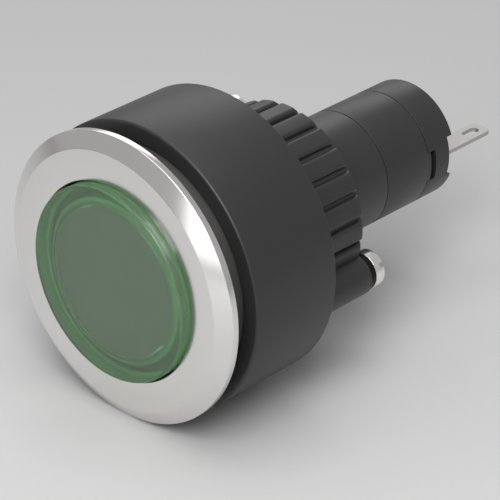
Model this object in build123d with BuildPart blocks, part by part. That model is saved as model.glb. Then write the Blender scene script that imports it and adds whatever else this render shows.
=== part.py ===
from build123d import *
from math import cos, hypot, radians, sin
import os

os.makedirs("parts", exist_ok=True)

# Panel pilot light for a round hole in a control panel, in millimetres.
# The lamp axis is Y: the lens looks along -Y and the solder blades point along +Y.
# Y = 0 is the front surface of the panel, where the metal ring is seated.

# Play between pieces: fixed seats, sliding fits, threads and faces that turn on each other
seat_play = 0.05
slide_play = 0.2
thread_play = 0.05
face_play = 0.04

# Metal ring in front of the panel
ring_overlap = 2.25
ring_edge = 0.8
ring_bevel_depth = 1.1
ring_bevel_width = 1.85
ring_land = 1.0
ring_edge_bevel = 0.08
gasket_width = 1.0
gasket_thickness = 0.5

# Panel hole, and the black body that passes through it
panel_hole = 30.5
neck_length = 6.4
neck_floor = 1.4
collar_step = 1.0
well_wall = 2.1
barrel_wall = 2.55
barrel_length = 19.2
barrel_bevel = 0.5
socket_depth = 13.6
passage_play = 0.5

# Lens cap with its seal and diffuser
lens_play = 0.25
lens_reach = 1.05
lens_front_wall = 1.5
lens_side_wall = 1.85
lens_edge_radius = 0.35
lens_inner_bevel = 1.0
skirt_gap = 0.8
seal_thickness = 1.0
seal_from_skirt_end = 3.0
diffuser_thickness = 0.8

# Clamp cup behind the panel, with the key that stops it turning
panel_gap = 2.9
cup_wall = 2.1
cup_length = 12.7
cup_floor = 2.4
cup_rear_bevel = 0.4
cup_front_bevel = 0.2
key_width = 2.0
key_height = 1.0
key_root = 0.5

# Ribbed ring nut with its two screw bosses
nut_wall = 2.0
nut_length = 11.1
rib_count = 24
rib_groove_depth = 0.65
rib_groove_width = 0.5
rib_round = 0.55
nut_bevel_length = 0.45
nut_angle = -30.8
boss_rise = 0.55
boss_diameter = 5.0

# Clamp screws and their washers
screw_diameter = 2.5
head_diameter = 4.6
head_height = 1.5
head_bevel = 0.15
slot_width = 0.6
slot_depth = 0.7
slot_angle = 30.0
washer_thickness = 0.95

# Bayonet lamp
lamp_gap = 0.35
lamp_length = 27.5
globe_diameter = 10.0
globe_flat = 0.8
globe_neck_diameter = 8.4
globe_neck_length = 3.0
cap_diameter = 9.3
cap_length = 9.8
tip_diameter = 3.2
tip_length = 1.0
pin_diameter = 1.8
pin_reach = 0.85
pin_from_tip = 6.7

# Lamp holder and the contacts behind it
holder_length = 11.0
holder_wall = 0.5
holder_flange = 0.8
holder_play = 0.1
bayonet_turn = 40.0
rivet_diameter = 2.5
rivet_head_diameter = 3.4
rivet_head = 0.8
plate_thickness = 1.5

# Rear socket, in three moulded lengths
flange_seat = 0.8
socket_wall = 1.0
spigot_gap = 0.3
spigot_length = 2.65
socket_middle_length = 7.5
terminal_block_length = 4.65
middle_hollow_diameter = 6.0
middle_hollow_depth = 7.0
seam_bevel = 0.12
rim_bevel = 0.2
notch_width = 5.3
notch_depth = 1.0
window_width = 3.8
window_length = 1.25
tongue_length = 0.4

# Solder terminals
blade_width = 2.8
blade_thickness = 0.5
blade_inset = 0.93
blade_reach = 8.1
blade_root = 1.9
blade_corner = 0.7
eye_width = 1.25
eye_length = 2.6
eye_from_tip = 2.3
leg_width = 1.6
foot_width = 1.8

# Radii of the lamp, and of the socket that is bored to take it
cap_r = cap_diameter / 2
globe_r = globe_diameter / 2
pin_end_r = cap_r + pin_reach
holder_bore_r = cap_r + holder_play
holder_r = holder_bore_r + holder_wall
socket_bore_r = pin_end_r + holder_play
cavity_r = socket_bore_r + flange_seat
inset_r = cavity_r - seat_play
socket_r = cavity_r + socket_wall
blade_offset = socket_r - blade_inset - blade_width / 2

# Radii and places of the ring, body, lens and seal
ring_r = panel_hole / 2 + ring_overlap
ring_front = -(ring_edge + ring_bevel_depth)
neck_r = panel_hole / 2 - seat_play
collar_r = neck_r - collar_step
well_r = collar_r - seat_play - well_wall
bore_r = well_r - seat_play
body_front = ring_front + ring_land
gasket_r = neck_r + gasket_width
barrel_r = socket_r + seat_play + barrel_wall
barrel_end = neck_length + barrel_length
socket_shoulder = barrel_end - socket_depth
well_floor = neck_length - neck_floor
lens_r = bore_r - lens_play
lens_front = ring_front - lens_reach
lens_skirt_end = well_floor - skirt_gap
lens_inner_r = lens_r - lens_side_wall
lens_inner_y = lens_front + lens_front_wall
diffuser_front = lens_inner_y + lens_inner_bevel
seal_r = seal_thickness / 2
seal_centre_r = bore_r - seat_play - seal_r
seal_groove_r = seal_centre_r - seal_r - seat_play
seal_y = lens_skirt_end - seal_from_skirt_end

# Radii and places of the clamp cup, nut and screws
cup_bore_r = neck_r + slide_play
cup_r = cup_bore_r + cup_wall
cup_hole_r = barrel_r + slide_play
cup_rear = panel_gap + cup_length
key_slot_r = barrel_r - key_height
nut_front = cup_rear + face_play
nut_rear = nut_front + nut_length
crest_r = barrel_r + nut_wall
boss_centre_r = crest_r + boss_rise
screw_r = screw_diameter / 2
head_r = head_diameter / 2
head_front = nut_rear + washer_thickness + face_play
head_end = head_front + head_height

# Places of the lamp, its holder and the contacts
globe_front = diffuser_front + diffuser_thickness + lamp_gap
tip_end = globe_front + lamp_length
cap_end = tip_end - tip_length
cap_front = cap_end - cap_length
pin_y = tip_end - pin_from_tip
pin_slot = pin_diameter + 2 * holder_play
plate_front = tip_end + rivet_head
plate_end = plate_front + plate_thickness
holder_seat = plate_front - holder_flange
holder_front = plate_front - holder_length
rivet_r = rivet_diameter / 2
foot_front = plate_end + rivet_head
foot_end = foot_front + foot_width

# Places of the rear socket and the solder blades
spigot_front = foot_end + spigot_gap
socket_front_end = spigot_front + spigot_length
socket_middle_end = socket_front_end + socket_middle_length
socket_rear_end = socket_middle_end + terminal_block_length
notch_floor = socket_rear_end - notch_depth
blade_shoulder = notch_floor - blade_root
blade_tip = socket_rear_end + blade_reach


def station(distance):
    """A plane across the lamp axis, so far behind the panel, with X to the right and Z up."""
    return Plane.XZ.offset(-distance)


# Metal ring: a flat face, a wide bevel and a thin edge that covers the panel hole
with BuildPart() as front_ring:
    with BuildSketch(Plane.XY):
        Polygon(
            (bore_r, ring_front),
            (ring_r - ring_bevel_width, ring_front),
            (ring_r, -ring_edge),
            (ring_r, 0),
            (gasket_r, 0),
            (gasket_r, -gasket_thickness),
            (collar_r, -gasket_thickness),
            (collar_r, body_front),
            (bore_r, body_front),
            align=None,
        )
    revolve(axis=Axis.Y)
    face_edges = front_ring.edges().filter_by(GeomType.CIRCLE).group_by(Axis.Y)[0]
    bevel_edge = front_ring.edges().filter_by(GeomType.CIRCLE).group_by(Axis.Y)[2].sort_by(SortBy.RADIUS)[-1]
    chamfer(face_edges + [bevel_edge], length=ring_edge_bevel)
front_ring.part.label = "front_ring"
export_step(front_ring.part, "parts/front_ring.step")

# Panel gasket: a flat rubber ring in the step behind the metal ring
with BuildPart() as panel_gasket:
    with BuildSketch(station(0)):
        Circle(gasket_r - seat_play)
        Circle(neck_r + seat_play, mode=Mode.SUBTRACT)
    extrude(amount=gasket_thickness)
panel_gasket.part.label = "panel_gasket"
export_step(panel_gasket.part, "parts/panel_gasket.step")

# Body: the wide neck for the panel hole, then the barrel that the ring nut runs on
with BuildPart() as body_housing:
    with BuildSketch(Plane.XY):
        Polygon(
            (well_r, body_front),
            (collar_r - seat_play, body_front),
            (collar_r - seat_play, -gasket_thickness),
            (neck_r, -gasket_thickness),
            (neck_r, neck_length),
            (barrel_r, neck_length),
            (barrel_r, barrel_end),
            (socket_r + seat_play, barrel_end),
            (socket_r + seat_play, socket_shoulder),
            (pin_end_r + passage_play, socket_shoulder),
            (pin_end_r + passage_play, well_floor),
            (well_r, well_floor),
            align=None,
        )
    revolve(axis=Axis.Y)
    rear_edges = body_housing.edges().filter_by(GeomType.CIRCLE).group_by(Axis.Y)[-1]
    chamfer(rear_edges.sort_by(SortBy.RADIUS)[-1], length=barrel_bevel)
    # A slot along the barrel guides the key of the clamp cup
    with BuildSketch(station(neck_length)):
        with Locations((0, barrel_r)):
            Rectangle(key_width + 2 * slide_play, 2 * key_height)
    extrude(amount=-barrel_length, mode=Mode.SUBTRACT)
body_housing.part.label = "body_housing"
export_step(body_housing.part, "parts/body_housing.step")

# Lens: a green cap with a thick front, and a groove round its skirt for the seal
with BuildPart() as lens:
    with BuildSketch(Plane.XY):
        Polygon(
            (0, lens_front),
            (lens_r, lens_front),
            (lens_r, lens_skirt_end),
            (lens_inner_r, lens_skirt_end),
            (lens_inner_r, diffuser_front),
            (lens_inner_r - lens_inner_bevel, lens_inner_y),
            (0, lens_inner_y),
            align=None,
        )
    revolve(axis=Axis.Y)
    fillet(lens.edges().filter_by(GeomType.CIRCLE).group_by(Axis.Y)[0], radius=lens_edge_radius)
    with BuildSketch(Plane.XY):
        with Locations((lens_r, seal_y)):
            Rectangle(2 * (lens_r - seal_groove_r), seal_thickness + 2 * seat_play)
    revolve(axis=Axis.Y, mode=Mode.SUBTRACT)
lens.part.label = "lens"
export_step(lens.part, "parts/lens.step")

# Lens seal: a square-cut rubber ring in the groove, which grips the well of the body
with BuildPart() as lens_seal:
    with BuildSketch(Plane.XY):
        with Locations((seal_centre_r, seal_y)):
            Rectangle(seal_thickness, seal_thickness)
    revolve(axis=Axis.Y)
lens_seal.part.label = "lens_seal"
export_step(lens_seal.part, "parts/lens_seal.step")

# Diffuser: a milky disc clipped in behind the bevel inside the lens
with BuildPart() as diffuser:
    with BuildSketch(station(diffuser_front)):
        Circle(lens_inner_r - seat_play)
    extrude(amount=-diffuser_thickness)
diffuser.part.label = "diffuser"
export_step(diffuser.part, "parts/diffuser.step")

# Clamp cup: it slides on the barrel and presses its rim on the back of the panel
with BuildPart() as clamp_cup:
    with BuildSketch(Plane.XY):
        Polygon(
            (cup_bore_r, panel_gap),
            (cup_r, panel_gap),
            (cup_r, cup_rear),
            (cup_hole_r, cup_rear),
            (cup_hole_r, cup_rear - cup_floor),
            (cup_bore_r, cup_rear - cup_floor),
            align=None,
        )
    revolve(axis=Axis.Y)
    rear_edges = clamp_cup.edges().filter_by(GeomType.CIRCLE).group_by(Axis.Y)[-1]
    chamfer(rear_edges.sort_by(SortBy.RADIUS)[-1], length=cup_rear_bevel)
    front_edges = clamp_cup.edges().filter_by(GeomType.CIRCLE).group_by(Axis.Y)[0]
    chamfer(front_edges.sort_by(SortBy.RADIUS)[-1], length=cup_front_bevel)
    # The key runs in the slot of the barrel, so the cup slides but never turns
    with BuildSketch(station(cup_rear)):
        with Locations((0, key_slot_r + slide_play)):
            Rectangle(key_width, key_height + key_root, align=(Align.CENTER, Align.MIN))
    extrude(amount=cup_floor)
clamp_cup.part.label = "clamp_cup"
export_step(clamp_cup.part, "parts/clamp_cup.step")

# Ring nut: rounded ribs all round, and two bosses that grow out of the ribs
with BuildPart() as ring_nut:
    with BuildSketch(station(nut_front)) as ribs:
        Circle(crest_r)
        with PolarLocations(crest_r, rib_count, start_angle=nut_angle + 180 / rib_count):
            Rectangle(2 * rib_groove_depth, rib_groove_width, mode=Mode.SUBTRACT)
        middle_of_groove = crest_r - rib_groove_depth / 2
        rib_shoulders = ribs.vertices().filter_by(lambda corner: hypot(corner.X, corner.Z) > middle_of_groove)
        fillet(rib_shoulders, radius=rib_round)
    extrude(amount=-nut_length)
    # The bevel round the rear end leaves the ribs with sloping ends
    with BuildSketch(Plane.XY):
        Polygon(
            (crest_r - rib_groove_depth, nut_rear),
            (crest_r + rib_groove_depth, nut_rear),
            (crest_r + rib_groove_depth, nut_rear - 2 * nut_bevel_length),
            align=None,
        )
    revolve(axis=Axis.Y, mode=Mode.SUBTRACT)
    with BuildSketch(station(nut_front)):
        with PolarLocations(boss_centre_r, 2, start_angle=nut_angle):
            Circle(boss_diameter / 2)
    extrude(amount=-nut_length)
    with BuildSketch(station(nut_front)):
        Circle(barrel_r + thread_play)
        with PolarLocations(boss_centre_r, 2, start_angle=nut_angle):
            Circle(screw_r + thread_play)
    extrude(amount=-nut_length, mode=Mode.SUBTRACT)
ring_nut.part.label = "ring_nut"
export_step(ring_nut.part, "parts/ring_nut.step")

# Clamp screws and their washers, one set in each boss
for side, turn in (("right", 0), ("left", 180)):
    screw_place = (
        boss_centre_r * cos(radians(nut_angle + turn)),
        boss_centre_r * sin(radians(nut_angle + turn)),
    )

    with BuildPart() as screw_washer:
        with BuildSketch(station(nut_rear)):
            with Locations(screw_place):
                Circle(head_r)
                Circle(screw_r + 2 * thread_play, mode=Mode.SUBTRACT)
        extrude(amount=-washer_thickness)
    screw_washer.part.label = f"screw_washer_{side}"
    export_step(screw_washer.part, f"parts/screw_washer_{side}.step")

    with BuildPart() as clamp_screw:
        with BuildSketch(station(nut_front)):
            with Locations(screw_place):
                Circle(screw_r)
        extrude(amount=nut_front - head_front)
        with BuildSketch(station(head_front)):
            with Locations(screw_place):
                Circle(head_r)
        extrude(amount=-head_height)
        head_edge = clamp_screw.edges().filter_by(GeomType.CIRCLE).group_by(Axis.Y)[-1]
        chamfer(head_edge, length=head_bevel)
        with BuildSketch(station(head_end)):
            with Locations(screw_place):
                Rectangle(2 * head_r, slot_width, rotation=slot_angle)
        extrude(amount=slot_depth, mode=Mode.SUBTRACT)
    clamp_screw.part.label = f"clamp_screw_{side}"
    export_step(clamp_screw.part, f"parts/clamp_screw_{side}.step")

# Lamp globe: the glass, narrowed where it is cemented into its cap
with BuildPart() as lamp_globe:
    with BuildSketch(Plane.XY):
        Polygon(
            (0, globe_front),
            (globe_r, globe_front),
            (globe_r, cap_front - globe_neck_length),
            (globe_neck_diameter / 2, cap_front),
            (0, cap_front),
            align=None,
        )
    revolve(axis=Axis.Y)
    fillet(lamp_globe.edges().filter_by(GeomType.CIRCLE).group_by(Axis.Y)[0], radius=globe_r - globe_flat)
lamp_globe.part.label = "lamp_globe"
export_step(lamp_globe.part, "parts/lamp_globe.step")

# Lamp cap: a bayonet cap with two pins and a centre tip
with BuildPart() as lamp_cap:
    with BuildSketch(Plane.XY):
        Polygon(
            (0, cap_front),
            (cap_r, cap_front),
            (cap_r, cap_end),
            (tip_diameter / 2, cap_end),
            (tip_diameter / 2, tip_end),
            (0, tip_end),
            align=None,
        )
    revolve(axis=Axis.Y)
    with BuildSketch(Plane.YZ):
        with Locations((pin_y, 0)):
            Circle(pin_diameter / 2)
    extrude(amount=pin_end_r, both=True)
lamp_cap.part.label = "lamp_cap"
export_step(lamp_cap.part, "parts/lamp_cap.step")

# Lamp holder: a flanged tube with two bent slots that lock the pins of the cap
with BuildPart() as lamp_holder:
    with BuildSketch(Plane.XY):
        Polygon(
            (holder_bore_r, holder_front),
            (holder_r, holder_front),
            (holder_r, holder_seat),
            (inset_r, holder_seat),
            (inset_r, plate_front),
            (holder_bore_r, plate_front),
            align=None,
        )
    revolve(axis=Axis.Y)
    with BuildSketch(station(holder_front)):
        with PolarLocations(holder_r, 2, start_angle=bayonet_turn):
            Rectangle(2 * (holder_wall + holder_play), pin_slot)
    extrude(amount=holder_front - pin_y - pin_slot / 2, mode=Mode.SUBTRACT)
    with BuildSketch(station(pin_y - pin_slot / 2)):
        with PolarLocations(0, 2):
            Polygon(
                (0, 0),
                (2 * holder_r, 0),
                (2 * holder_r * cos(radians(bayonet_turn)), 2 * holder_r * sin(radians(bayonet_turn))),
                align=None,
            )
        with PolarLocations(holder_r, 2):
            Rectangle(2 * (holder_wall + holder_play), pin_slot)
    extrude(amount=-pin_slot, mode=Mode.SUBTRACT)
lamp_holder.part.label = "lamp_holder"
export_step(lamp_holder.part, "parts/lamp_holder.step")

# Contact plate: the insulator behind the holder, notched for the foot of the left terminal
with BuildPart() as contact_plate:
    with BuildSketch(station(plate_front)):
        Circle(inset_r)
        Circle(rivet_r + seat_play, mode=Mode.SUBTRACT)
        with Locations((seat_play + leg_width / 2 - blade_offset, -blade_thickness / 2 - seat_play)):
            Rectangle(
                socket_r,
                foot_width + blade_thickness / 2 + 2 * seat_play,
                align=(Align.MAX, Align.MIN),
                mode=Mode.SUBTRACT,
            )
    extrude(amount=-plate_thickness)
contact_plate.part.label = "contact_plate"
export_step(contact_plate.part, "parts/contact_plate.step")

# Centre contact: a rivet through the plate, under the tip of the lamp
with BuildPart() as centre_contact:
    with BuildSketch(Plane.XY):
        Polygon(
            (0, tip_end),
            (rivet_head_diameter / 2, tip_end),
            (rivet_head_diameter / 2, plate_front),
            (rivet_r, plate_front),
            (rivet_r, plate_end),
            (rivet_head_diameter / 2, plate_end),
            (rivet_head_diameter / 2, foot_front),
            (0, foot_front),
            align=None,
        )
    revolve(axis=Axis.Y)
centre_contact.part.label = "centre_contact"
export_step(centre_contact.part, "parts/centre_contact.step")

# Front length of the socket: it plugs into the barrel, and a step inside seats the holder
with BuildPart() as socket_front:
    with BuildSketch(Plane.XY):
        Polygon(
            (socket_bore_r, socket_shoulder),
            (socket_r, socket_shoulder),
            (socket_r, socket_front_end),
            (cavity_r, socket_front_end),
            (cavity_r, holder_seat),
            (socket_bore_r, holder_seat),
            align=None,
        )
    revolve(axis=Axis.Y)
    rear_edges = socket_front.edges().filter_by(GeomType.CIRCLE).group_by(Axis.Y)[-1]
    chamfer(rear_edges.sort_by(SortBy.RADIUS)[-1], length=seam_bevel)
socket_front.part.label = "socket_front"
export_step(socket_front.part, "parts/socket_front.step")

# Middle length of the socket: a spigot in front, and two latch tongues over the rear seam
with BuildPart() as socket_middle:
    with BuildSketch(station(socket_front_end)):
        Circle(socket_r)
    extrude(amount=-socket_middle_length)
    chamfer(socket_middle.edges().filter_by(GeomType.CIRCLE), length=seam_bevel)
    with BuildSketch(station(socket_middle_end - seam_bevel)):
        Circle(socket_r)
        Circle(socket_r - notch_depth, mode=Mode.SUBTRACT)
        Rectangle(2 * socket_r, window_width - 2 * seat_play, mode=Mode.INTERSECT)
    extrude(amount=-seam_bevel - tongue_length)
    with BuildSketch(station(spigot_front)):
        Circle(inset_r)
    extrude(amount=-spigot_length)
    with BuildSketch(station(spigot_front)):
        Circle(middle_hollow_diameter / 2)
    extrude(amount=-middle_hollow_depth, mode=Mode.SUBTRACT)
    with BuildSketch(station(spigot_front)):
        with Locations((-blade_offset, 0), (blade_offset, 0)):
            Rectangle(leg_width + 2 * seat_play, blade_thickness + 2 * seat_play)
    extrude(amount=spigot_front - socket_middle_end, mode=Mode.SUBTRACT)
socket_middle.part.label = "socket_middle"
export_step(socket_middle.part, "parts/socket_middle.step")

# Terminal block: latch windows in front, and a notched rim round the recess for the blades
with BuildPart() as terminal_block:
    with BuildSketch(station(socket_middle_end)):
        Circle(socket_r)
    extrude(amount=-terminal_block_length)
    chamfer(terminal_block.edges().filter_by(GeomType.CIRCLE).group_by(Axis.Y)[0], length=seam_bevel)
    chamfer(terminal_block.edges().filter_by(GeomType.CIRCLE).group_by(Axis.Y)[-1], length=rim_bevel)
    with BuildSketch(station(socket_middle_end)):
        Circle(2 * socket_r)
        Circle(socket_r - notch_depth - seat_play, mode=Mode.SUBTRACT)
        Rectangle(4 * socket_r, window_width, mode=Mode.INTERSECT)
    extrude(amount=-window_length, mode=Mode.SUBTRACT)
    with BuildSketch(station(notch_floor)):
        Circle(cavity_r)
        Rectangle(4 * socket_r, notch_width)
    extrude(amount=-notch_depth, mode=Mode.SUBTRACT)
    with BuildSketch(station(socket_middle_end)):
        with Locations((-blade_offset, 0), (blade_offset, 0)):
            Rectangle(leg_width + 2 * seat_play, blade_thickness + 2 * seat_play)
    extrude(amount=-terminal_block_length, mode=Mode.SUBTRACT)
    with BuildSketch(station(blade_shoulder)):
        with Locations((-blade_offset, 0), (blade_offset, 0)):
            Rectangle(blade_width + 2 * seat_play, blade_thickness + 2 * seat_play)
    extrude(amount=-blade_root, mode=Mode.SUBTRACT)
terminal_block.part.label = "terminal_block"
export_step(terminal_block.part, "parts/terminal_block.step")

# Solder terminals: a blade with an eye, a shoulder, and a leg that ends in a foot
for side, name, leg_front in ((1, "right", foot_front), (-1, "left", plate_front)):
    with BuildPart() as terminal:
        with BuildSketch(Plane.XY.offset(-blade_thickness / 2)) as blank:
            with Locations((side * blade_offset, blade_tip)):
                Rectangle(blade_width, blade_tip - blade_shoulder, align=(Align.CENTER, Align.MAX))
            fillet(blank.vertices().group_by(Axis.Y)[-1], radius=blade_corner)
            with Locations((side * blade_offset, leg_front)):
                Rectangle(leg_width, blade_shoulder - leg_front, align=(Align.CENTER, Align.MIN))
            with Locations((side * blade_offset, blade_tip - eye_from_tip)):
                SlotOverall(eye_length, eye_width, rotation=90, mode=Mode.SUBTRACT)
        extrude(amount=blade_thickness)
        if name == "right":
            # This foot reaches across to the rivet in the middle
            with BuildSketch(Plane.XY.offset(-blade_thickness / 2)):
                with Locations((-rivet_r, foot_front)):
                    Rectangle(rivet_r + blade_offset, foot_width, align=(Align.MIN, Align.MIN))
            extrude(amount=blade_thickness)
        else:
            # This foot is bent up against the flange of the lamp holder
            with BuildSketch(station(plate_front)):
                with Locations((-blade_offset, -blade_thickness / 2)):
                    Rectangle(leg_width, foot_width + blade_thickness / 2, align=(Align.CENTER, Align.MIN))
            extrude(amount=-blade_thickness)
    terminal.part.label = f"terminal_{name}"
    export_step(terminal.part, f"parts/terminal_{name}.step")
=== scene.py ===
# %% [markdown]
# # Panel pilot light
# A round signal lamp for a hole in a control panel. From front to back it is a green lens cap in a metal ring,
# a black clamp cup, a ribbed ring nut with two clamp screws, and a narrow socket with two solder blades.
# The lamp axis is Y: the lens looks along -Y, and Z is up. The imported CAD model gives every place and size.

import bmesh
import bpy
from math import atan2, cos, hypot, pi, radians, sin, sqrt, tan
from mathutils import Matrix, Vector


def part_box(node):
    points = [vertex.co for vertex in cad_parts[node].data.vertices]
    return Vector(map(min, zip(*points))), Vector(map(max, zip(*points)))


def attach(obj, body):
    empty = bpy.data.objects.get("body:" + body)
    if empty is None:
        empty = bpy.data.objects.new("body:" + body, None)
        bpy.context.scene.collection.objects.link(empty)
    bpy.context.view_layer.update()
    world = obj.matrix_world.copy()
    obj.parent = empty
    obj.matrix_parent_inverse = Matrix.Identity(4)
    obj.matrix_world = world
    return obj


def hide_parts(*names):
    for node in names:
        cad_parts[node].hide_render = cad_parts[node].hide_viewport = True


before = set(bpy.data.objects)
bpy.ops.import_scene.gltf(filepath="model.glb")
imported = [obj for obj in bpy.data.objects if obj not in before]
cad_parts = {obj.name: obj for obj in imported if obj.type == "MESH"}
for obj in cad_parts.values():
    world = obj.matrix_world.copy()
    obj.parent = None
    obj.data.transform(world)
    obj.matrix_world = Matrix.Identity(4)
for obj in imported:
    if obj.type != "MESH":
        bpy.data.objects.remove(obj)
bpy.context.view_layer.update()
mm = 0.001

# %% [markdown]
# ## Places
# Nearly every piece is turned about the lamp axis, so three numbers place it: the station where it starts,
# the station where it ends, and its outer radius. They are read from the CAD nodes, so a piece can't drift.

# %% Measure the CAD nodes
def turned_size(node):
    """First station, last station and outer radius of a CAD node that is turned about the axis, in mm."""
    low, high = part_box(node)
    return low.y / mm, high.y / mm, high.x / mm


ring_front, ring_seat, ring_r = turned_size("front_ring")
lens_front, skirt_end, lens_r = turned_size("lens")
body_front, barrel_end, neck_r = turned_size("body_housing")
cup_front, cup_rear, cup_r = turned_size("clamp_cup")
socket_shoulder, first_seam, socket_r = turned_size("socket_front")
_, socket_rear, _ = turned_size("terminal_block")
spigot_front = turned_size("socket_middle")[0]
seat_play = 0.05
for name in ("front_ring", "lens", "body_housing", "clamp_cup", "ring_nut", "socket_front", "terminal_block"):
    print(name, [round(value, 2) for value in turned_size(name)])

# %% [markdown]
# ## Turning a profile
# A moulded or machined round piece is a profile spun about the axis. Real edges are never sharp, so each
# corner of the profile carries the radius of its rounding, and a small arc takes the corner's place.

# %% Rounded profiles
arc_steps = 4


def rounded(corners):
    """The points of a closed profile, with each (radius, station, rounding) corner turned into a small arc."""
    points = []
    for place, (radius, station, size) in enumerate(corners):
        corner = Vector((radius, station))
        if not size:
            points.append(corner)
            continue
        back = (Vector(corners[place - 1][:2]) - corner).normalized()
        ahead = (Vector(corners[(place + 1) % len(corners)][:2]) - corner).normalized()
        half = back.angle(ahead) / 2
        centre = corner + (back + ahead).normalized() * size / sin(half)
        first = (corner + back * size / tan(half) - centre).normalized()
        last = (corner + ahead * size / tan(half) - centre).normalized()
        points += [centre + size * first.slerp(last, step / arc_steps) for step in range(arc_steps + 1)]
    return points


sample = [(1, 0, 0.1), (2, 0, 0.1), (2, 1, 0.1), (1, 1, 0.1)]
print("a square with four rounded corners has", len(rounded(sample)), "points")

# %% [markdown]
# A profile can be spun by a Screw modifier or by bmesh's own spin. The operator is used here, because threads and
# ribs are pressed into the points of the finished wall, and a modifier would hide those points until the end.

# %% Spinning a profile
turn_steps, fine_steps = 288, 384
weld_gap = 1e-7


def spun(points, steps=turn_steps):
    """A bmesh made by spinning a closed profile of (radius, station) points about the lamp axis.

    An eighth of a turn is spun and then doubled three times, which is much quicker than one full spin.
    """
    mesh = bmesh.new()
    profile = [mesh.verts.new((radius * mm, station * mm, 0)) for radius, station in points]
    pairs = zip(profile, profile[1:] + profile[:1])
    edges = [mesh.edges.new(pair) for pair in pairs if max(abs(end.co.x) for end in pair) > 1e-9]
    bmesh.ops.spin(mesh, geom=profile + edges, axis=(0, 1, 0), angle=pi / 4, steps=steps // 8)
    for turn in (pi / 4, pi / 2, pi):
        copy = bmesh.ops.duplicate(mesh, geom=mesh.verts[:] + mesh.edges[:] + mesh.faces[:])["geom"]
        verts = [part for part in copy if isinstance(part, bmesh.types.BMVert)]
        bmesh.ops.rotate(mesh, verts=verts, matrix=Matrix.Rotation(turn, 3, "Y"))
    bmesh.ops.remove_doubles(mesh, verts=mesh.verts, dist=weld_gap)
    bmesh.ops.recalc_face_normals(mesh, faces=mesh.faces)
    return mesh


def lathe(corners, steps=turn_steps):
    """A turned piece from the (radius, station, rounding) corners of its profile."""
    return spun(rounded(corners), steps)


print("one full turn has", turn_steps, "or", fine_steps, "steps")

# %% [markdown]
# ## Threads
# A thread is a wavy groove that climbs round a rod. The wall gets many rows of points, and each point is pressed
# in by an amount that depends on its angle and its station. At both ends the groove fades out, as a real one does.

# %% Threads
def rows(start, end, spacing):
    """Evenly spaced stations from start to end."""
    count = max(1, round(abs(end - start) / spacing))
    return [start + (end - start) * step / count for step in range(count + 1)]


def cut_thread(mesh, radius, start, end, pitch, depth):
    """Presses a round-bottomed thread into the wall at this radius, fading out at both ends."""
    for vert in mesh.verts:
        x, z, station = vert.co.x / mm, vert.co.z / mm, vert.co.y / mm
        if abs(hypot(x, z) - radius) > 1e-3 or not start < station < end:
            continue
        fade = min(1, (station - start) / pitch, (end - station) / pitch)
        groove = depth * fade * (0.5 - 0.5 * cos(2 * pi * station / pitch - atan2(x, z)))
        vert.co.x -= x / radius * groove * mm
        vert.co.z -= z / radius * groove * mm


print("rows for a 3 mm wall:", rows(0, 3, 1.5))

# %% [markdown]
# ## Cutting
# Slots, windows and holes are cut as in a workshop: a plain block or rod is placed where the material goes, and
# an exact boolean takes it away. Faces with many sides are then split, so that each one lies flat.

# %% Cutting tools
def block(size, centre, turn=0):
    """A box of this size in mm, turned about the lamp axis, used to cut a slot or a window."""
    mesh = bmesh.new()
    place = Matrix.Translation(Vector(centre) * mm) @ Matrix.Rotation(-turn, 4, "Y")
    bmesh.ops.create_cube(mesh, size=1, matrix=place @ Matrix.Diagonal((*(Vector(size) * mm), 1)))
    return mesh


def moved(mesh, centre):
    """The same mesh with its axis at this (x, z) place in mm."""
    bmesh.ops.translate(mesh, verts=mesh.verts, vec=(centre[0] * mm, 0, centre[1] * mm))
    return mesh


def rod(radius, start, end, steps=96):
    """A round bar along the lamp axis, used to cut a hole."""
    return spun([(0, start), (radius, start), (radius, end), (0, end)], steps)


def as_object(mesh, name):
    """An object in the scene with this mesh."""
    data = bpy.data.meshes.new(name)
    mesh.to_mesh(data)
    mesh.free()
    thing = bpy.data.objects.new(name, data)
    bpy.context.scene.collection.objects.link(thing)
    return thing


def carved(mesh, tools, operation="DIFFERENCE"):
    """The shape with the tools cut out of it, or joined to it, by exact booleans."""
    shape = as_object(mesh, "shape")
    cutters = [as_object(tool, "tool") for tool in tools]
    for cutter in cutters:
        step = shape.modifiers.new("carve", "BOOLEAN")
        step.object, step.operation, step.solver = cutter, operation, "EXACT"
    result = bmesh.new()
    result.from_object(shape, bpy.context.evaluated_depsgraph_get())
    bmesh.ops.remove_doubles(result, verts=result.verts, dist=2 * weld_gap)
    many_sided = [face for face in result.faces if len(face.verts) > 4]
    bmesh.ops.triangulate(result, faces=many_sided, ngon_method="BEAUTY")
    for thing in cutters + [shape]:
        bpy.data.meshes.remove(thing.data)
    return result


# %% [markdown]
# ## Joining the mechanism
# Each finished mesh rides on one body of the mechanism, so it moves with that body's joint. The plain CAD node that
# it dresses is hidden.

# %% Putting a piece in the scene
def add_piece(mesh, name, finish, body, slot, *nodes, sharp=28):
    """Puts a finished mesh in the scene: it rides on its body, and its CAD nodes are hidden."""
    volume = mesh.calc_volume(signed=True)
    if volume < 0:
        bmesh.ops.reverse_faces(mesh, faces=mesh.faces)
    piece = as_object(mesh, name)
    piece.data.shade_smooth()
    piece.data.set_sharp_from_angle(angle=radians(sharp))
    piece.data.materials.append(finish)
    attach(piece, body)
    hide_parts(*nodes)
    print(name, "faces:", len(piece.data.polygons), "volume in mm3:", round(abs(volume) / mm**3, 1))


# %% [markdown]
# ## Finishes
# Each finish is worked out from the object's own coordinates, so it stays with the piece from any side.
# Plastic gets a very fine mould grain, metal gets turning marks that run round the axis, and both get a
# slow change of gloss, as handling leaves it. No finish uses a picture.

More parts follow.
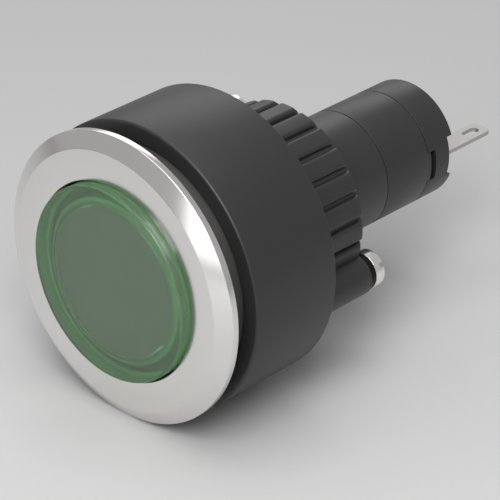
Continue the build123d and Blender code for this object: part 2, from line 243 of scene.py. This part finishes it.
# %% A plain finish
def new_finish(name, colour, gloss, metallic=0.0, **inputs):
    """A material with one shader, its plain values set on the shader's own sockets."""
    finish = bpy.data.materials.new(name)
    finish.use_nodes = True
    shader = finish.node_tree.nodes["Principled BSDF"]
    shader.inputs["Base Color"].default_value = (*colour, 1)
    shader.inputs["Roughness"].default_value = gloss
    shader.inputs["Metallic"].default_value = metallic
    for socket, value in inputs.items():
        shader.inputs[socket.replace("_", " ")].default_value = value
    return finish


def add_node(finish, kind, values=None, **settings):
    """A new node in the finish, with its settings and the plain values of its inputs."""
    node = finish.node_tree.nodes.new(kind)
    for setting, value in settings.items():
        setattr(node, setting, value)
    for socket, value in (values or {}).items():
        node.inputs[socket].default_value = value
    return node


def ramp(finish, source, start, end, low=0.0, high=1.0):
    """A node output that goes from low to high while the source goes from start to end."""
    values = {"From Min": start, "From Max": end, "To Min": low, "To Max": high}
    node = add_node(finish, "ShaderNodeMapRange", values)
    finish.node_tree.links.new(source, node.inputs["Value"])
    return node.outputs["Result"]


def arithmetic(finish, operation, first, second):
    """A node output that works out one sum or product of two outputs, or of an output and a number."""
    node = add_node(finish, "ShaderNodeMath", operation=operation, use_clamp=operation == "ADD")
    finish.node_tree.links.new(first, node.inputs[0])
    if isinstance(second, float):
        node.inputs[1].default_value = second
    else:
        finish.node_tree.links.new(second, node.inputs[1])
    return node.outputs["Value"]


# %% [markdown]
# Moulded plastic is never quite smooth: the steel of the mould leaves a grain that shows only as a softer gloss.
# Real points could be pushed about instead, but it would take millions of them, so a bump of a few thousandths
# of a millimetre does it. A second, slow noise changes the gloss a little from place to place.

# %% Grain
def add_grain(finish, scale, height, gloss_spread, stretch=(1, 1, 1)):
    """Fine grain in the surface, and a slow change of gloss over it."""
    link = finish.node_tree.links.new
    shader = finish.node_tree.nodes["Principled BSDF"]
    place = add_node(finish, "ShaderNodeTexCoord")
    scaled = add_node(finish, "ShaderNodeMapping", {"Scale": stretch})
    grain = add_node(finish, "ShaderNodeTexNoise", {"Scale": scale, "Detail": 3.0})
    bump = add_node(finish, "ShaderNodeBump", {"Strength": 1.0, "Distance": height})
    slow = add_node(finish, "ShaderNodeTexNoise", {"Scale": 90.0, "Detail": 2.0})
    gloss = shader.inputs["Roughness"].default_value
    link(place.outputs["Object"], scaled.inputs["Vector"])
    link(scaled.outputs["Vector"], grain.inputs["Vector"])
    link(grain.outputs["Fac"], bump.inputs["Height"])
    link(bump.outputs["Normal"], shader.inputs["Normal"])
    link(place.outputs["Object"], slow.inputs["Vector"])
    link(ramp(finish, slow.outputs["Fac"], 0.0, 1.0, gloss - gloss_spread, gloss + gloss_spread),
         shader.inputs["Roughness"])


# %% [markdown]
# A lathe tool leaves fine rings round the axis. A noise in one dimension, read at the radius plus the station, has
# the same value all the way round, so its bumps are rings on the flat face and on the bevel alike.

# %% Turning marks
def axis_places(finish):
    """Two node outputs: the distance from the lamp axis, and the station along it, in metres."""
    link = finish.node_tree.links.new
    place = add_node(finish, "ShaderNodeTexCoord")
    parts = add_node(finish, "ShaderNodeSeparateXYZ")
    flat = add_node(finish, "ShaderNodeCombineXYZ")
    radius = add_node(finish, "ShaderNodeVectorMath", operation="LENGTH")
    link(place.outputs["Object"], parts.inputs["Vector"])
    link(parts.outputs["X"], flat.inputs["X"])
    link(parts.outputs["Z"], flat.inputs["Z"])
    link(flat.outputs["Vector"], radius.inputs[0])
    return radius.outputs["Value"], parts.outputs["Y"]


def add_turning_marks(finish, pitch, height, gloss_spread):
    """Fine rings round the lamp axis, as a lathe tool leaves them on a machined face."""
    link = finish.node_tree.links.new
    shader = finish.node_tree.nodes["Principled BSDF"]
    radius, station = axis_places(finish)
    along = add_node(finish, "ShaderNodeMath", operation="ADD")
    turns = add_node(finish, "ShaderNodeTexNoise", {"Scale": 1 / pitch, "Detail": 2.0}, noise_dimensions="1D")
    bump = add_node(finish, "ShaderNodeBump", {"Strength": 1.0, "Distance": height})
    gloss = shader.inputs["Roughness"].default_value
    link(radius, along.inputs[0])
    link(station, along.inputs[1])
    link(along.outputs["Value"], turns.inputs["W"])
    link(turns.outputs["Fac"], bump.inputs["Height"])
    link(bump.outputs["Normal"], shader.inputs["Normal"])
    link(ramp(finish, turns.outputs["Fac"], 0.0, 1.0, gloss - gloss_spread, gloss + gloss_spread),
         shader.inputs["Roughness"])


# %% [markdown]
# Black plastic is a very dark grey. It sends back about two hundredths of the light, and the shine of its surface
# does the rest. The blacks differ slightly, because the mouldings are made of different plastics. The body's black is
# also lifted to about three times the others: painted light for its neck, which lies in shade between the ring and
# the cup.

# %% Mix the plastics
black_plastic = new_finish("black_plastic", (0.021, 0.021, 0.021), 0.43)
# painted light: the body's black is lifted because its neck lies in shade between the ring and the cup
body_plastic_painted_light = new_finish("body_plastic_painted_light", (0.06, 0.06, 0.058), 0.45)
nut_plastic = new_finish("nut_plastic", (0.023, 0.023, 0.0235), 0.4)
socket_plastic = new_finish("socket_plastic", (0.023, 0.023, 0.0235), 0.4)
for plastic in (black_plastic, body_plastic_painted_light, nut_plastic, socket_plastic):
    add_grain(plastic, 5200, 4e-6, 0.04)
rubber = new_finish("rubber", (0.018, 0.018, 0.018), 0.75)
add_grain(rubber, 3000, 6e-6, 0.05)
fibre_board = new_finish("fibre_board", (0.32, 0.2, 0.1), 0.65)
add_grain(fibre_board, 1500, 8e-6, 0.06, stretch=(1, 1, 6))
white_plastic = new_finish("white_plastic", (0.21, 0.21, 0.205), 0.5)
lamp_glass = new_finish("lamp_glass", (1, 1, 1), 0.03, Transmission_Weight=1.0, IOR=1.5)
add_grain(lamp_glass, 120, 4e-6, 0.01)
print("plastics and glass:", sorted(material.name for material in bpy.data.materials if material.use_nodes))

# %% [markdown]
# A metal has no colour under its surface, so its base colour is what it reflects. The ring is bright and smooth,
# the screws are plated and streaky, the blades are dull, and the washers are blackened.

# %% Mix the metals
ring_metal = new_finish("ring_metal", (0.82, 0.8, 0.785), 0.2, metallic=1.0)
add_turning_marks(ring_metal, 0.00012, 2e-6, 0.03)
screw_metal = new_finish("screw_metal", (0.93, 0.92, 0.9), 0.24, metallic=1.0)
add_grain(screw_metal, 1400, 8e-6, 0.05, stretch=(3, 0.3, 3))
blade_metal = new_finish("blade_metal", (0.5, 0.49, 0.48), 0.55, metallic=0.9)
add_grain(blade_metal, 900, 3e-6, 0.05, stretch=(1, 0.1, 1))
washer_metal = new_finish("washer_metal", (0.028, 0.025, 0.022), 0.45, metallic=1.0)
add_grain(washer_metal, 2400, 3e-6, 0.05)
brass = new_finish("brass", (0.72, 0.5, 0.22), 0.28, metallic=1.0)
add_grain(brass, 900, 3e-6, 0.05)
print("finishes:", sorted(material.name for material in bpy.data.materials))

# %% [markdown]
# The lens is clear green plastic. Its colour lies in its depth and not on its surface: light that crosses the thin
# front loses little red and blue, and light that runs along the side wall comes out a strong green. The front has
# a slight haze. The side walls have a frosted mould finish, so they glow where the front is nearly clear.

# %% Green lens plastic
green_lens = new_finish("green_lens", (1, 1, 1), 0.1, Transmission_Weight=1.0, IOR=1.49)
frosted = add_node(green_lens, "ShaderNodeBsdfPrincipled", {
    "Roughness": 0.5, "Transmission Weight": 0.2, "IOR": 1.49})
red_loss = 140.0
depth_colour = add_node(green_lens, "ShaderNodeVolumeAbsorption", {
    "Color": (0.0, 0.84, 0.0, 1), "Density": red_loss})
print("the lens keeps half of its red after", round(0.693 / red_loss / mm, 1), "mm")

# %% [markdown]
# Masks say where the frost lies: one grows from the front inwards, and one from the clear middle to the wall. A third
# fades the frost and the green tint near the outer face of the wall, which paints that directly lit face darker:
# painted shade. Their product mixes the frosted shader in. Two materials on one mesh would do as well, but with a
# hard border, and the real one fades.

# %% Where the lens is frosted
haze = 0.3
radius, station = axis_places(green_lens)
behind_front = ramp(green_lens, station, (ring_front - 0.1) * mm, (ring_front + 0.3) * mm)
near_wall = ramp(green_lens, radius, (lens_r - 2.6) * mm, (lens_r - 1.9) * mm)
# painted shade: the outer face of the lens wall gets less frost and a greyer tint, to darken it where the near box
# lights it
clearer_outside_painted_shade = ramp(green_lens, radius, (lens_r - 0.7) * mm, (lens_r - 0.2) * mm, low=1.0, high=0.45)
inner_wall = arithmetic(green_lens, "MULTIPLY", near_wall, clearer_outside_painted_shade)
wall = arithmetic(green_lens, "MULTIPLY", behind_front, inner_wall)
frost = arithmetic(green_lens, "ADD", wall, haze)
tint = add_node(green_lens, "ShaderNodeMix", {
    "A": (0.22, 0.29, 0.22, 1), "B": (0.35, 0.78, 0.36, 1)}, data_type="RGBA")
mixed = add_node(green_lens, "ShaderNodeMixShader")
output = green_lens.node_tree.nodes["Material Output"]
link = green_lens.node_tree.links.new
link(wall, tint.inputs["Factor"])
link(tint.outputs["Result"], frosted.inputs["Base Color"])
link(frost, mixed.inputs[0])
link(green_lens.node_tree.nodes["Principled BSDF"].outputs["BSDF"], mixed.inputs[1])
link(frosted.outputs["BSDF"], mixed.inputs[2])
link(mixed.outputs["Shader"], output.inputs["Surface"])
link(depth_colour.outputs["Volume"], output.inputs["Volume"])
print("the lens is made of", len(green_lens.node_tree.nodes), "nodes, and its front is", haze, "hazy")

# %% [markdown]
# ## Metal ring
# The ring is turned from one piece of bright metal: a flat face round the lens, a wide bevel, and a thin edge
# that sits on the panel. Its two outer corners are broken by a tiny radius, which is where the light catches.

# %% Metal ring
bore_r = lens_r + 0.25
bevel_width, bevel_depth = 1.85, 1.1
collar_r = neck_r - 1.0
gasket_r, gasket_depth = neck_r + 1.0, 0.5
front_ring = lathe([
    (bore_r, ring_front, 0.1),
    (ring_r - bevel_width, ring_front, 0.12),
    (ring_r, ring_front + bevel_depth, 0.1),
    (ring_r, ring_seat, 0.06),
    (gasket_r, ring_seat, 0),
    (gasket_r, ring_seat - gasket_depth, 0),
    (collar_r, ring_seat - gasket_depth, 0),
    (collar_r, body_front, 0),
    (bore_r, body_front, 0),
], fine_steps)
add_piece(front_ring, "front_ring_turned", ring_metal, "lamp_body", "polished_metal", "front_ring")

# %% [markdown]
# ## Lens cap
# The cap is a hollow cup with a thick front, and a bevel inside its corner. Its wall has a groove for the rubber
# seal. It is built with its real thickness, because the bright and dark rings near its rim are the inside of the
# cup seen through the front.

# %% Lens cap
lens_wall, lens_front_wall, inner_bevel = 1.85, 1.5, 1.0
lens_inner_r = lens_r - lens_wall
lens_inner_front = lens_front + lens_front_wall
seal_depth = 1.0
groove_front, groove_rear = (corner.y / mm + side * seat_play for corner, side in zip(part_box("lens_seal"), (-1, 1)))
groove_r = bore_r - seal_depth - 2 * seat_play
lens = lathe([
    (0, lens_front, 0),
    (lens_r, lens_front, 0.35),
    (lens_r, groove_front, 0.05),
    (groove_r, groove_front, 0.05),
    (groove_r, groove_rear, 0.05),
    (lens_r, groove_rear, 0.05),
    (lens_r, skirt_end, 0.15),
    (lens_inner_r, skirt_end, 0.15),
    (lens_inner_r, lens_inner_front + inner_bevel, 0.2),
    (lens_inner_r - inner_bevel, lens_inner_front, 0.2),
    (0, lens_inner_front, 0),
], fine_steps)
add_piece(lens, "lens_cap_clear", green_lens, "lens_cap", "green_lens", "lens")

# %% [markdown]
# ## Body
# The body is one moulding. The neck fills the panel hole, and the barrel behind it carries a coarse moulded
# thread for the ring nut. A straight slot along the top of the barrel guides the key of the clamp cup.

# %% Body
barrel_r = socket_r + seat_play + 2.55
neck_end = 6.4
well_r, well_floor = bore_r + seat_play, 5.0
lamp_passage_r = 6.0
thread_pitch, thread_depth = 1.5, 0.45
slot_width, slot_length = 2.4, 19.3
body = lathe([
    (well_r, body_front, 0.05),
    (collar_r - seat_play, body_front, 0),
    (collar_r - seat_play, -gasket_depth, 0),
    (neck_r, -gasket_depth, 0.1),
    (neck_r, neck_end, 0.15),
    (barrel_r, neck_end, 0),
    *((barrel_r, station, 0) for station in rows(neck_end + 0.1, barrel_end - 0.5, 0.15)),
    (barrel_r - 0.5, barrel_end, 0.1),
    (socket_r + seat_play, barrel_end, 0.1),
    (socket_r + seat_play, socket_shoulder, 0),
    (lamp_passage_r, socket_shoulder, 0),
    (lamp_passage_r, well_floor, 0),
    (well_r, well_floor, 0),
], steps=192)
cut_thread(body, barrel_r, neck_end + 1.2, barrel_end - 0.4, thread_pitch, thread_depth)
body = carved(body, [block((slot_width, slot_length, 2), (0, neck_end + slot_length / 2, barrel_r))])
add_piece(body, "body_moulding", body_plastic_painted_light, "lamp_body", "black_plastic", "body_housing")

# %% [markdown]
# ## Clamp cup
# The cup slides on the barrel and presses its rim on the back of the panel. It is a plain deep moulding with
# softly rounded corners, and the key inside its hole keeps it from turning.

# %% Clamp cup
cup_bore_r = cup_r - 2.1
cup_floor = cup_rear - 2.4
slide_play = 0.2
cup_hole_r = barrel_r + slide_play
key_height, key_size = 1.0, (2.0, 2.4, 1.5)
key_middle = (0, (cup_floor + cup_rear) / 2, barrel_r - key_height + slide_play + key_size[2] / 2)
cup = lathe([
    (cup_bore_r, cup_front, 0.15),
    (cup_r, cup_front, 0.3),
    (cup_r, cup_rear, 0.12),
    (cup_hole_r, cup_rear, 0.15),
    (cup_hole_r, cup_floor, 0.15),
    (cup_bore_r, cup_floor, 0.3),
], fine_steps)
cup = carved(cup, [block(key_size, key_middle)], "UNION")
add_piece(cup, "clamp_cup_moulding", black_plastic, "cup", "black_plastic", "clamp_cup")

# %% [markdown]
# ## Ring nut
# Narrow grooves with rounded shoulders leave wide flat ribs on the nut, and two round bosses for the clamp screws
# grow out of them. Seen along the axis, the nut is one outline, so two functions give its distance from the axis
# at any angle. A plain ring is spun, and each point of its outer wall is then moved out or in to the outline.

# %% Outline of the ribs and the bosses
nut_front, nut_rear = (corner.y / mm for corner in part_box("ring_nut"))
crest_r = barrel_r + 2.0
boss_r, boss_distance = 2.5, crest_r + 0.55
nut_angle = radians(-30.8)
rib_count = 24
groove_depth, groove_half_width, shoulder = 0.65, 0.25, 0.55


def rib_radius(angle):
    """Distance of the ribbed wall from the axis, at this angle about it."""
    from_groove = (angle - nut_angle) % (2 * pi / rib_count) - pi / rib_count
    across = abs(from_groove) * crest_r
    if across >= groove_half_width + shoulder:
        return crest_r
    if across <= groove_half_width:
        return crest_r - groove_depth
    return crest_r - shoulder + sqrt(shoulder**2 - (groove_half_width + shoulder - across) ** 2)


def boss_radius(angle):
    """Distance of a boss's outside from the axis, or 0 beside it."""
    off = (angle - nut_angle + pi / 2) % pi - pi / 2
    inside = boss_r**2 - (boss_distance * sin(off)) ** 2
    return boss_distance * cos(off) + sqrt(inside) if inside > 0 else 0


print("nut radius at a rib, in a groove and on a boss:",
      [round(value, 2) for value in (crest_r, crest_r - groove_depth, boss_radius(nut_angle))])

# %% [markdown]
# Each level of the outer wall is a station and an amount that it is drawn in, which rounds the front and rear
# edges. A bevel slopes the rear ends of the ribs, and it leaves the bosses at their full length.

# %% Ring nut
rib_steps = 44
bevel_length = 0.45
bevel_start = nut_rear - bevel_length
nut_levels = [(nut_front, 0.1), (nut_front + 0.03, 0.03), (nut_front + 0.1, 0)]
nut_levels += [(station, 0) for station in rows(nut_front + 1, nut_rear - 1, 1.0)]
nut_levels += [(bevel_start - 0.1, 0), (bevel_start, 0.02), (nut_rear - 0.25, 0), (nut_rear - 0.1, 0)]
nut_levels += [(nut_rear - 0.03, 0.03), (nut_rear, 0.1)]
nut = spun([(barrel_r + seat_play, station) for station in rows(nut_rear, nut_front, 2.5)]
           + [(crest_r - drawn_in, station) for station, drawn_in in nut_levels], rib_count * rib_steps)
for vert in nut.verts:
    radius, angle = hypot(vert.co.x, vert.co.z) / mm, atan2(vert.co.z, vert.co.x)
    if radius > crest_r - 0.2:
        cone = crest_r - groove_depth + (nut_rear - vert.co.y / mm) * groove_depth / bevel_length
        outline = max(min(rib_radius(angle), cone), boss_radius(angle)) - (crest_r - radius)
        vert.co.x, vert.co.z = outline * cos(angle) * mm, outline * sin(angle) * mm
screw_places = [(boss_distance * cos(nut_angle + turn), boss_distance * sin(nut_angle + turn)) for turn in (0, pi)]
nut = carved(nut, [moved(rod(1.3, nut_front - 1, nut_rear + 1), place) for place in screw_places])
add_piece(nut, "ring_nut_moulding", nut_plastic, "nut", "nut_plastic", "ring_nut", sharp=35)

# %% [markdown]
# ## Clamp screws
# Two slotted cheese-head screws run through the bosses. Each has a bright plated head over a dark washer, and a
# fine thread along its shank that shows when it is backed out.

# %% Clamp screws and washers
shank_r, washer_bore_r, head_r = 1.25, 1.35, 2.3
washer_rear = nut_rear + 0.95
head_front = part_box("screw_washer_right")[1].y / mm + 0.04
head_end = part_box("clamp_screw_right")[1].y / mm
slot_turn = radians(30)
for side, place in zip(("right", "left"), screw_places):
    screw = lathe([
        (0, nut_front, 0),
        (shank_r - 0.2, nut_front, 0),
        *((shank_r, station, 0) for station in rows(nut_front + 0.2, head_front, 0.075)),
        (head_r, head_front, 0.06),
        (head_r, head_end, 0.2),
        (0, head_end, 0),
    ], steps=64)
    cut_thread(screw, shank_r, nut_front + 0.2, head_front - 0.4, 0.45, 0.14)
    screw = moved(carved(screw, [block((6, 1.4, 0.6), (0, head_end, 0), slot_turn)]), place)
    add_piece(screw, f"screw_{side}_plated", screw_metal, f"screw_{side}", "screw_steel", f"clamp_screw_{side}")
    washer = moved(lathe([
        (washer_bore_r, nut_rear, 0.05),
        (head_r, nut_rear, 0.1),
        (head_r, washer_rear, 0.1),
        (washer_bore_r, washer_rear, 0.05),
    ], steps=96), place)
    add_piece(washer, f"washer_{side}_dark", washer_metal, f"washer_{side}", "dark_washer", f"screw_washer_{side}")

# %% [markdown]
# ## Rear socket
# The socket is made of three round mouldings with thin seams between them. Two tongues of the middle length
# hook into windows of the last one, and the last one has a recessed rear face and a notch on each side.

# %% Socket front
cavity_r = socket_r - 1.0
lip_r = socket_r - 1.8
holder_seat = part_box("lamp_holder")[1].y / mm - 0.8
seam = 0.1
socket_front = lathe([
    (lip_r, socket_shoulder, 0.05),
    (socket_r, socket_shoulder, 0.1),
    (socket_r, first_seam - seam, 0.05),
    (cavity_r, first_seam - seam, 0.03),
    (cavity_r, holder_seat, 0),
    (lip_r, holder_seat, 0),
])
add_piece(socket_front, "socket_front_moulding", socket_plastic, "lamp_body", "socket_plastic", "socket_front")

# %% [markdown]
# The middle length has a spigot that fits into the first one. Its tongues are the parts of a disc that lie inside
# a flat block, so their outside follows the round wall by itself.

# %% Socket middle
second_seam = first_seam + 7.5
inset_r = cavity_r - seat_play
hollow_r, hollow_end = 3, spigot_front + 7
blade_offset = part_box("terminal_right")[1].x / mm - 1.4
middle = lathe([
    (0, hollow_end, 0),
    (hollow_r, hollow_end, 0),
    (hollow_r, spigot_front, 0.05),
    (inset_r, spigot_front, 0.1),
    (inset_r, first_seam, 0),
    (socket_r, first_seam, 0.05),
    (socket_r, second_seam - seam, 0.05),
    (0, second_seam - seam, 0),
])
tongue_disc = rod(socket_r - 0.03, second_seam - 0.5, second_seam + 0.4, steps=turn_steps)
tongues = carved(tongue_disc, [block((20, 4, 3.7), (0, second_seam, 0))], "INTERSECT")
tongues = carved(tongues, [rod(socket_r - 1, second_seam - 2, second_seam + 2)])
leg_holes = [block((1.7, 12, 0.6), (side * blade_offset, second_seam - 4, 0)) for side in (-1, 1)]
middle = carved(carved(middle, [tongues], "UNION"), leg_holes)
add_piece(middle, "socket_middle_moulding", socket_plastic, "lamp_body", "socket_plastic", "socket_middle")

# %% [markdown]
# The last length is turned with its recess. Four pairs of openings are then cut in one go: windows for the
# tongues, notches in the rim, slots for the legs of the contacts, and seats for the blades.

# %% Terminal block
notch_floor = socket_rear - 1.0
terminal_block = lathe([
    (0, second_seam, 0),
    (socket_r, second_seam, 0.05),
    (socket_r, socket_rear, 0.2),
    (cavity_r, socket_rear, 0.08),
    (cavity_r, notch_floor, 0.1),
    (0, notch_floor, 0),
])
openings = []
for size, offset, middle_station in (
    ((2.1, 2.5, 3.8), socket_r, second_seam),
    ((3, 2, 5.3), socket_r, socket_rear),
    ((1.7, 12, 0.6), blade_offset, second_seam + 2),
    ((2.9, 3.8, 0.6), blade_offset, notch_floor),
):
    openings += [block(size, (side * offset, middle_station, 0)) for side in (-1, 1)]
terminal_block = carved(terminal_block, openings)
add_piece(terminal_block, "terminal_block_moulding", socket_plastic, "lamp_body", "socket_plastic", "terminal_block")

# %% [markdown]
# ## Nodes that keep their CAD shape
# The lamp, its holder, the contacts, the blades, the diffuser and the two seals have the right shape in the CAD
# model, so they only get their real finishes.

# %% Finishes of the CAD nodes
kept = {
    "panel_gasket": rubber, "lens_seal": rubber, "diffuser": white_plastic, "lamp_globe": lamp_glass,
    "lamp_cap": brass, "lamp_holder": brass, "contact_plate": fibre_board, "centre_contact": brass,
    "terminal_right": blade_metal, "terminal_left": blade_metal,
}
for name, finish in kept.items():
    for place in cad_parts[name].material_slots:
        place.material = finish
print("kept:", sorted(kept))

# %% [markdown]
# ## Stage
# A pale floor fills the view. The ring and the cup have the same diameter, so the lamp lies level on both. The
# light is a wide soft box overhead with an even pale surround, and the camera looks down on the lens side.

# %% Floor
floor_mesh = bmesh.new()
bmesh.ops.create_grid(floor_mesh, x_segments=1, y_segments=1, size=3, matrix=Matrix.Translation((0, 0, -cup_r * mm)))
floor = as_object(floor_mesh, "floor")
floor_finish = new_finish("floor_finish", (0.52, 0.52, 0.52), 0.9)
floor.data.materials.append(floor_finish)
print("the floor lies", round(cup_r, 2), "mm under the lamp axis")

# %% [markdown]
# Shiny round things show their lamps, so each box has its own task. The top box lays a broad grey band along the
# cup, the near box makes the bright place on the bevel, the front box fills the flat face of the ring, and the
# back box picks out the rear edges. The even surround keeps the shadows soft.

# %% Light
def soft_box(name, place, target, width, power):
    """A square soft light at this place, turned to its target."""
    lamp = bpy.data.lights.new(name, "AREA")
    lamp.size, lamp.energy = width, power
    holder = bpy.data.objects.new(name, lamp)
    holder.location = place
    holder.rotation_euler = (Vector(target) - Vector(place)).to_track_quat("-Z", "Y").to_euler()
    bpy.context.scene.collection.objects.link(holder)


soft_box("top_box", (0.0, 0.02, 0.5), (0, 0.02, 0), 0.35, 0.9)
soft_box("near_box", (0.10, -0.12, 0.16), (0.02, -0.03, -0.0175), 0.13, 0.4)
soft_box("front_box", (0.17, -0.55, 0.14), (0.17, 0, 0.14), 0.3, 0.31)
soft_box("back_box", (-0.42, 0.46, 0.36), (0, 0.02, 0), 0.4, 0.6)
world = bpy.data.worlds.new("surround")
world.use_nodes = True
world.node_tree.nodes["Background"].inputs["Color"].default_value = (1, 1, 1, 1)
world.node_tree.nodes["Background"].inputs["Strength"].default_value = 0.42
bpy.context.scene.world = world
bpy.context.scene.view_settings.view_transform = "Standard"
print("soft boxes:", sorted(lamp.name for lamp in bpy.data.lights))

# %% [markdown]
# A long lens at some distance keeps the circles nearly true. Its place and direction are worked out from the
# outlines of the ring, the cup and the socket.

# %% Camera
camera_data = bpy.data.cameras.new("camera")
camera_data.lens, camera_data.sensor_width, camera_data.sensor_fit = 196.72, 36, "HORIZONTAL"
camera_data.clip_start, camera_data.clip_end = 0.01, 20
camera = bpy.data.objects.new("camera", camera_data)
camera.location = (0.19261, -0.18226, 0.14948)
camera.rotation_euler = Vector((-0.60361, 0.63424, -0.48311)).to_track_quat("-Z", "Y").to_euler()
bpy.context.scene.collection.objects.link(camera)
bpy.context.scene.camera = camera
print("the camera stands", round(camera.location.length / mm), "mm from the ring")
